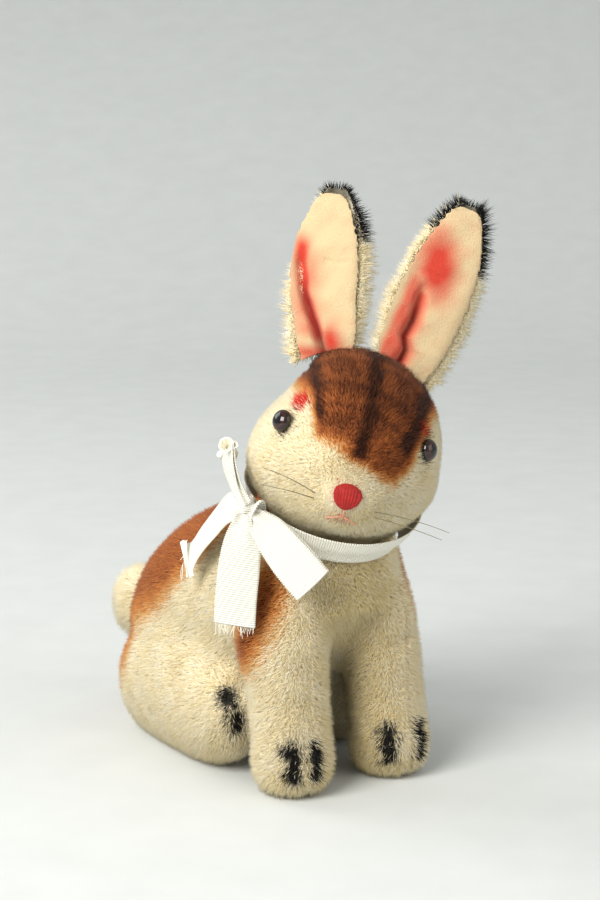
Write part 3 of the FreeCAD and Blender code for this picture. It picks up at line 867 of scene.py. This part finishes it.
for side, word in ((-1, "right"), (1, "left")):
    outer = stuffed("ear_form_" + word, ["ear_back_" + word], 0.0005, 3, 0.0002)
    outer.name = "ear_plush_" + word
    widen(outer, side, 0.86, 2.0 if side > 0 else -0.8)
    tip_black = lambda p: 0.7 * ease(35.0, 38.0, ear_place(p, side)[:, 2])
    ground_tint(outer, lambda p: mixed(0.0 * p[:, 0], tip_black(p)))
    outer.data.materials.append(ground_cloth)
    fur = pile("pile_ear_" + word, outer, 17.0, 3.3, 0.2, ear_comb(side),
               ear_tones(side), 200 + side, "head", ear_growth(side), 1.0, 0.4)
    inner = stuffed("ear_velveteen_" + word, ["ear_lining_" + word], 0.00030, 4, 0.00005)
    points = array_of(inner.data, inner.data.vertices, "co", 3)
    forward = turn @ ear_frame(side) @ np.array((0.0, -1.0, 0.0))
    points += np.outer(lining_relief(ear_place(points, side), side) / 1000, forward)
    inner.data.vertices.foreach_set("co", points.ravel())
    widen(inner, side, 1.0, 2.6 if side > 0 else -0.6)
    settle(inner, "SMOOTH", factor=0.5, iterations=3)
    ground_tint(inner, lambda p: lining_tint(p, side) / 0.8)
    inner.data.materials.append(velveteen.material)
    for piece, node in ((outer, "ear_back_"), (inner, "ear_lining_")):
        alone(piece)
        bpy.ops.object.shade_smooth()
        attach(piece, "head")
        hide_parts(node + word)

# The eyes: dark glass buttons with a brown rim to the iris, each on a wire shank.
HEAD_RADII = np.array((22.6, 24.3, 23.4))
for side, word in ((-1, "right"), (1, "left")):
    glass = Finish("eye_glass_" + word, Roughness=0.03, Coat_Weight=0.3, Coat_Roughness=0.01)
    eye_at = np.array((side * 17.6, -14.4, 4.7))
    outwards = Vector(eye_at / HEAD_RADII ** 2).normalized()
    pupil = on_head(*(eye_at + 1.5 * np.array(outwards)))
    away = glass.node("ShaderNodeVectorMath", {"operation": "DISTANCE"}, glass.places(), tuple(pupil),
                      out="Value")
    stops = [(0.0, (0.004, 0.003, 0.003)), (0.60, (0.006, 0.004, 0.003)), (0.72, paint(70, 26, 11)),
             (0.80, paint(50, 18, 8)), (1.0, (0.01, 0.006, 0.004))]
    glass.feed("Base Color", glass.node("ShaderNodeValToRGB", {"stops": stops}, away * (1000 / 2.7)))
    nodes["eye_" + word].data.materials.clear()
    nodes["eye_" + word].data.materials.append(glass.material)


def strands(name, runs, radius, finish, taper=1.0, sides=2):
    """Threads along smooth lines, joined as one piece; each run is a list of points in the frame."""
    made = []
    for run in runs:
        line = bpy.data.curves.new(name, "CURVE")
        line.dimensions = "3D"
        line.bevel_depth = radius / 1000
        line.bevel_resolution = sides
        line.use_fill_caps = True
        line.resolution_u = 8
        thread = line.splines.new("NURBS")
        thread.points.add(len(run) - 1)
        for index, (knot, place) in enumerate(zip(thread.points, run)):
            knot.co = (*place, 1.0)
            knot.radius = 1.0 + (taper - 1.0) * index / (len(run) - 1)
        thread.order_u = 3
        thread.use_endpoint_u = True
        made.append(bpy.data.objects.new(name, line))
        bpy.context.collection.objects.link(made[-1])
    alone(made[0])
    for thread in made:
        thread.select_set(True)
    bpy.ops.object.convert(target="MESH")
    bpy.ops.object.join()
    whole = bpy.context.object
    whole.name = name
    whole.data.materials.clear()
    whole.data.materials.append(finish)
    bpy.ops.object.shade_smooth()
    return whole


def on_muzzle(x, z, out=0.0):
    """A point on the muzzle's front, given across and up from the head's middle."""
    deep = math.sqrt(max(0.0, 1 - (x / 12.5) ** 2 - ((z + 8.4) / 10.5) ** 2))
    return on_head(x, -12.6 - 11.2 * deep - out, z)


# The nose: satin stitches of coral floss that fan down to a point, laid over one another, and the
# mouth: three straight stitches of the same floss, worn pale.
floss = Finish("nose_floss", Roughness=0.7)
floss_twist = floss.noise(floss.places(), 1400.0)
floss.feed("Base Color", floss.tinted(floss_twist, paint(112, 6, 5), paint(192, 26, 18)))
floss.relief(floss_twist, 0.0002)
stitches = []
for index in range(17):
    share = index / 16 * 2 - 1
    top, foot = 2.75 * share, 1.9 * share
    rise = -5.9 - 1.0 * share ** 2
    fall = -11.4 + 0.9 * share ** 2
    middle = 3.1 * share if abs(share) > 0.7 else 2.9 * share
    lift = 0.55 * (1 - 0.5 * share ** 2) + (0.12 if index % 2 else 0.0)
    stitches.append([on_muzzle(top * 0.95, rise, -0.9), on_muzzle(top, rise - 0.3, lift * 0.6),
                     on_muzzle(middle, -8.0, lift), on_muzzle((middle + foot) / 2, -9.8, lift),
                     on_muzzle(foot, fall + 0.2, lift * 0.5), on_muzzle(foot, fall, -0.9)])
nose = strands("nose_satin_stitches", stitches, 0.36, floss.material)
faded = Finish("mouth_floss", paint(222, 150, 124), Roughness=0.8)
mouth_runs = []
for (x1, z1), (x2, z2) in (((0.0, -11.2), (0.1, -13.5)), ((0.0, -13.3), (-3.6, -14.5)),
                           ((0.1, -13.3), (3.8, -15.0))):
    steps = [(x1 + (x2 - x1) * s, z1 + (z2 - z1) * s) for s in (0.0, 0.25, 0.5, 0.75, 1.0)]
    mouth_runs.append([on_muzzle(x, z, -0.3 if 0 < i < 4 else -0.9) for i, (x, z) in enumerate(steps)])
mouth = strands("mouth_stitches_floss", mouth_runs, 0.15, faded.material)
for piece, node in ((nose, "nose_stitches"), (mouth, "mouth_stitches")):
    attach(piece, "head")
    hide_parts(node)

# The whiskers: two thin olive-grey filaments a side, tied in the muzzle and bowed by their weight.
filament = Finish("whisker_filament", paint(112, 104, 74), Roughness=0.4)
for side, word, tips in ((-1, "right", ((-20.5, -24.8, -5.6), (-20.0, -25.5, -9.4))),
                         (1, "left", ((24.5, -24.0, -12.0), (23.0, -25.0, -13.8)))):
    runs = []
    for index, end in enumerate(tips):
        root = np.array((side * 7.2, -21.2, (-9.4 if side < 0 else -11.0) - 1.2 * index))
        mid = (root + np.array(end)) / 2 + (0.0, -0.5, 1.1 - 0.5 * index)
        runs.append([on_head(*root), on_head(*mid), on_head(*end)])
    whisker = strands("whisker_hairs_" + word, runs, 0.13, filament.material, 0.45)
    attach(whisker, "head")
    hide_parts("whiskers_" + word)

# The ribbon: ivory grosgrain 10 mm wide with fine cross ribs and looped edges, tied round the neck
# and pressed flat into a bow on the rabbit's right, its two ends left to fray.
grosgrain = Finish("grosgrain", Roughness=0.55, Sheen_Weight=0.2)
RIB_PITCH = 0.55                            # mm from one cross rib or edge loop to the next
ribbon_chart = grosgrain.node("ShaderNodeUVMap", {"uv_map": "UVMap"})
weave = grosgrain.node("ShaderNodeSeparateXYZ", {}, ribbon_chart)
rib = (weave * (2 * math.pi * 100 / RIB_PITCH)).maths("SINE")
wear = grosgrain.noise(grosgrain.places(), 140.0)
rib_colour = grosgrain.tinted(rib * 0.5 + 0.5, paint(247, 243, 226), paint(255, 254, 248))
wear_shade = grosgrain.tinted(wear, (0.96, 0.95, 0.91), (1.0, 1.0, 1.0))
grosgrain.feed("Base Color", grosgrain.multiplied(rib_colour, wear_shade))
grosgrain.relief(rib, 0.00011)


def flowing(points, count):
    """Smoothly joined values through a list of points."""
    knots = np.array(points, float)
    padded = np.concatenate([[2 * knots[0] - knots[1]], knots, [2 * knots[-1] - knots[-2]]])
    at = np.linspace(0, len(knots) - 1 - 1e-9, count)
    step = at.astype(int)
    t = (at - step)[:, None]
    a, b, c, d = (padded[step + i] for i in range(4))
    square, cube = 2 * a - 5 * b + 4 * c - d, 3 * b - a - 3 * c + d
    return 0.5 * (2 * b + (c - a) * t + square * t ** 2 + cube * t ** 3)


def ribbon_run(name, line, across, wide, node, bow=0.3, flutter=0.0):
    """A run of ribbon along a line, in mm of the body's layout, with its width's direction and its
    width at each point; where it is narrower than the ribbon it is gathered into pleats."""
    rough = flowing(line, 200)
    long = np.linalg.norm(np.diff(rough, axis=0), axis=1).sum()
    rows, cells = int(long / (RIB_PITCH / 4)) + 1, 12
    middle = flowing(line, rows)
    along = np.gradient(middle, axis=0)
    along /= np.linalg.norm(along, axis=1)[:, None]
    wide_at = flowing(np.array(wide, float)[:, None], rows)[:, 0]
    side = flowing(across, rows)
    side -= along * (side * along).sum(1)[:, None]
    side /= np.linalg.norm(side, axis=1)[:, None]
    face = np.cross(along, side)
    run = np.concatenate([[0.0], np.cumsum(np.linalg.norm(np.diff(middle, axis=0), axis=1))])
    v = np.linspace(-1, 1, cells + 1)
    picot = 0.14 * np.cos(2 * math.pi * run / RIB_PITCH)
    half = wide_at[:, None] / 2 * v + np.outer(picot, np.sign(v) * (np.abs(v) > 0.99))
    gather = np.clip(10.0 - wide_at, 0.0, 6.0)[:, None] * 0.16
    rise = gather * np.sin(1.5 * math.pi * v + 0.6) + bow * (1 - v ** 2)
    rise = rise + flutter * np.sin(run[:, None] / 4.0 + 0.8 * v)
    points = middle[:, None, :] + side[:, None, :] * half[:, :, None]
    points = points + face[:, None, :] * rise[:, :, None]
    index = np.arange(rows * (cells + 1)).reshape(rows, cells + 1)
    quads = np.stack([index[:-1, :-1], index[:-1, 1:], index[1:, 1:], index[1:, :-1]], -1)
    quads = quads.reshape(-1, 4)
    mesh = bpy.data.meshes.new(name)
    mesh.from_pydata(((points.reshape(-1, 3) + layout) / 1000).tolist(), [], quads.tolist())
    chart = mesh.uv_layers.new(name="UVMap")
    flat = np.stack(np.broadcast_arrays(run[:, None] / 100, (v + 1) / 20), -1).reshape(-1, 2)
    chart.data.foreach_set("uv", flat[quads.ravel()].ravel())
    mesh.materials.append(grosgrain.material)
    piece = bpy.data.objects.new(name, mesh)
    bpy.context.collection.objects.link(piece)
    settle(piece, "SOLIDIFY", thickness=0.00026, offset=0.0)
    bpy.ops.object.shade_smooth()
    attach(piece, "body")
    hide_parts(node)


lean = math.radians(NECK_LEAN)
sideways_mm = np.array((1.0, 0.0, 0.0))
axis_mm = np.array((0.0, -math.sin(lean), math.cos(lean)))
cross_mm = np.array((0.0, math.cos(lean), math.sin(lean)))
collar_line, collar_across, collar_wide = [], [], []
for index in range(33):
    angle = math.radians(180 + 360 * index / 32)
    out = math.cos(angle) * sideways_mm + math.sin(angle) * cross_mm
    radius = 19.9 + 0.10 * math.sin(3 * angle + 0.7)
    height = 2.4 + 0.12 * math.sin(2 * angle + 1.0)
    collar_line.append(NECK_AT + axis_mm * height + out * radius)
    collar_across.append(axis_mm * 0.88 + out * 0.47)
    collar_wide.append(8.8 if 1 < index < 31 else 6.5)
ribbon_run("ribbon_collar", collar_line, collar_across, collar_wide, "bow_collar",
           0.15)

knot_middle = np.array((-24.3, 0.9, 70.2))
outward = np.array((-0.96, -0.27, -0.05))
sideways = np.array((0.25, -0.93, -0.25))
upright = np.cross(outward, sideways)
ring, ring_across = [], []
for index in range(13):
    angle = 2 * math.pi * index / 12 + math.pi
    ring.append(knot_middle + outward * (1.55 * math.cos(angle)) + upright * (2.7 * math.sin(angle)))
    ring_across.append(sideways)
ring_wide = [5.2 + 0.5 * math.sin(index) for index in range(13)]
ribbon_run("ribbon_knot", ring, ring_across, ring_wide, "bow_knot", 0.25)

front_end = np.array((-18.0, -14.8, 55.3))
front_face = np.array((-0.62, -0.78, 0.0))
front_along = front_end - knot_middle
front_across = np.cross(front_face, front_along)
ribbon_run("ribbon_loop_front", [
    knot_middle + (-1.3, -0.9, -1.0), knot_middle + front_along * 0.3 + front_face * 1.5,
    knot_middle + front_along * 0.66 + front_face * 1.5, front_end + front_face * 0.7,
    front_end + front_along * 0.03, front_end - front_face * 0.6,
    knot_middle + front_along * 0.66 - front_face * 0.8,
    knot_middle + front_along * 0.3 - front_face * 0.4, knot_middle + (-0.6, -0.4, -1.0)],
    [front_across] * 9, (4.2, 8.0, 9.8, 10, 10, 10, 9.8, 8.0, 4.2), "bow_loop_front", 0.2)


def round_neck(angle, height, radius):
    """A place round the neck: the angle runs from the right side towards the back."""
    out = math.sin(math.radians(angle)) * cross_mm - math.cos(math.radians(angle)) * sideways_mm
    return NECK_AT + axis_mm * height + out * radius


ribbon_run("ribbon_loop_back", [
    knot_middle + (-1.4, 0.2, 0.9), round_neck(6, 8.8, 26.6), round_neck(14, 11.6, 27.5),
    round_neck(21, 14.2, 27.9), round_neck(22, 14.5, 27.7), round_neck(21, 14.2, 27.5),
    round_neck(14, 11.5, 27.0), round_neck(6, 8.7, 26.1), knot_middle + (-0.9, 0.2, 0.8)],
    [np.array((0.25, 0.93, -0.30))] * 9, (4.2, 7.6, 9.4, 10, 10, 10, 9.4, 7.6, 4.2),
    "bow_loop_back", 0.2)

tail_end = np.array((-27.6, 3.4, 42.4))
tail_face = np.array((-0.70, -0.70, 0.0))
tail_across = np.cross(tail_face, tail_end - knot_middle)
tail_tilt = np.array((0.0, 0.0, 6.0))
ribbon_run("ribbon_end_front", [
    knot_middle + (-1.8, -0.6, -0.8), knot_middle + (-2.6, -0.4, -6.5), knot_middle + (-3.2, 0.3, -13.0),
    knot_middle + (-3.6, 1.2, -20.5), tail_end],
    [tail_across, tail_across, tail_across, tail_across, tail_across + tail_tilt],
    (4.4, 8.4, 9.8, 10, 10), "bow_end_front", 0.25, 0.18)

far_end = np.array((-24.6, 29.5, 53.0))
far_tip = far_end + (-1.6, 0.8, -0.4)
far_line = [knot_middle + (-1.2, 1.0, 0.4), np.array((-24.6, 11.0, 68.6)),
            np.array((-23.6, 19.5, 63.6)), np.array((-23.8, 25.8, 57.8)), far_end, far_tip]
far_across = np.cross(np.array((-0.72, -0.30, 0.62)), far_end - knot_middle)
ribbon_run("ribbon_end_back", far_line, [far_across] * 6, (4.4, 8.2, 9.8, 10, 10, 9.8),
           "bow_end_back", 0.25, 0.2)

# The frayed ends: loose warp and weft threads, where the ribbon was cut and has unravelled.
loose = Finish("ribbon_threads", paint(248, 245, 230), Roughness=0.6, Sheen_Weight=0.2)
for name, end, across_mm, down, count, long in (
        ("ribbon_fray_front", tail_end, tail_across + tail_tilt, np.array((0.05, 0.12, -1.0)),
         34, 2.6),
        ("ribbon_fray_back", far_tip, far_across, np.array((0.0, 0.35, -0.9)), 12, 2.8)):
    dice = np.random.default_rng(count)
    side_mm = across_mm / np.linalg.norm(across_mm)
    runs = []
    for index in range(count):
        start = end + side_mm * 9.4 * (index / (count - 1) - 0.5) + 0.15 * dice.normal(size=3)
        way = down + 0.35 * dice.normal(size=3) * (0.5, 0.5, 0.3)
        length = long * (0.35 + 0.65 * dice.random())
        bend = 0.5 * dice.normal(size=3)
        knots = (start - way * 0.6, start + way * length * 0.5 + bend * 0.5, start + way * length + bend)
        runs.append([on_body(*knot) for knot in knots])
    fray = strands(name, runs, 0.09, loose.material, 0.7, 0)
    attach(fray, "body")

# Inside the neck: two pressed card discs, two washers and a split pin hold the turning head on, and
# a thread gathers each neck opening. A wire shank holds each eye.
card = Finish("pressed_card", Roughness=0.85)
card_place = card.node("ShaderNodeMapping", {}, card.places(), Scale=(400, 900, 400))
card_fibre = card.noise(card_place, 2.0, 4.0)
card.feed("Base Color", card.tinted(card_fibre, paint(132, 104, 70), paint(178, 148, 106)))
card.relief(card_fibre, 0.0002)
wire = Finish("plain_steel", Metallic=1.0, Roughness=0.38)
wire_marks = wire.noise(wire.places(), 700.0)
wire.feed("Base Color", wire.tinted(wire_marks, paint(120, 118, 112), paint(176, 174, 170)))
linen = Finish("linen_thread", Roughness=0.8)
linen_twist = linen.noise(linen.places(), 2400.0)
linen.feed("Base Color", linen.tinted(linen_twist, paint(178, 166, 138), paint(220, 208, 180)))
linen.relief(linen_twist, 0.0002)
for finish, names in (
        (card, ("lower_neck_disc", "upper_neck_disc")),
        (wire, ("lower_washer", "upper_washer", "neck_split_pin", "eye_shank_right",
                "eye_shank_left")),
        (linen, ("body_neck_thread", "head_neck_thread"))):
    for name in names:
        nodes[name].data.materials.clear()
        nodes[name].data.materials.append(finish.material)
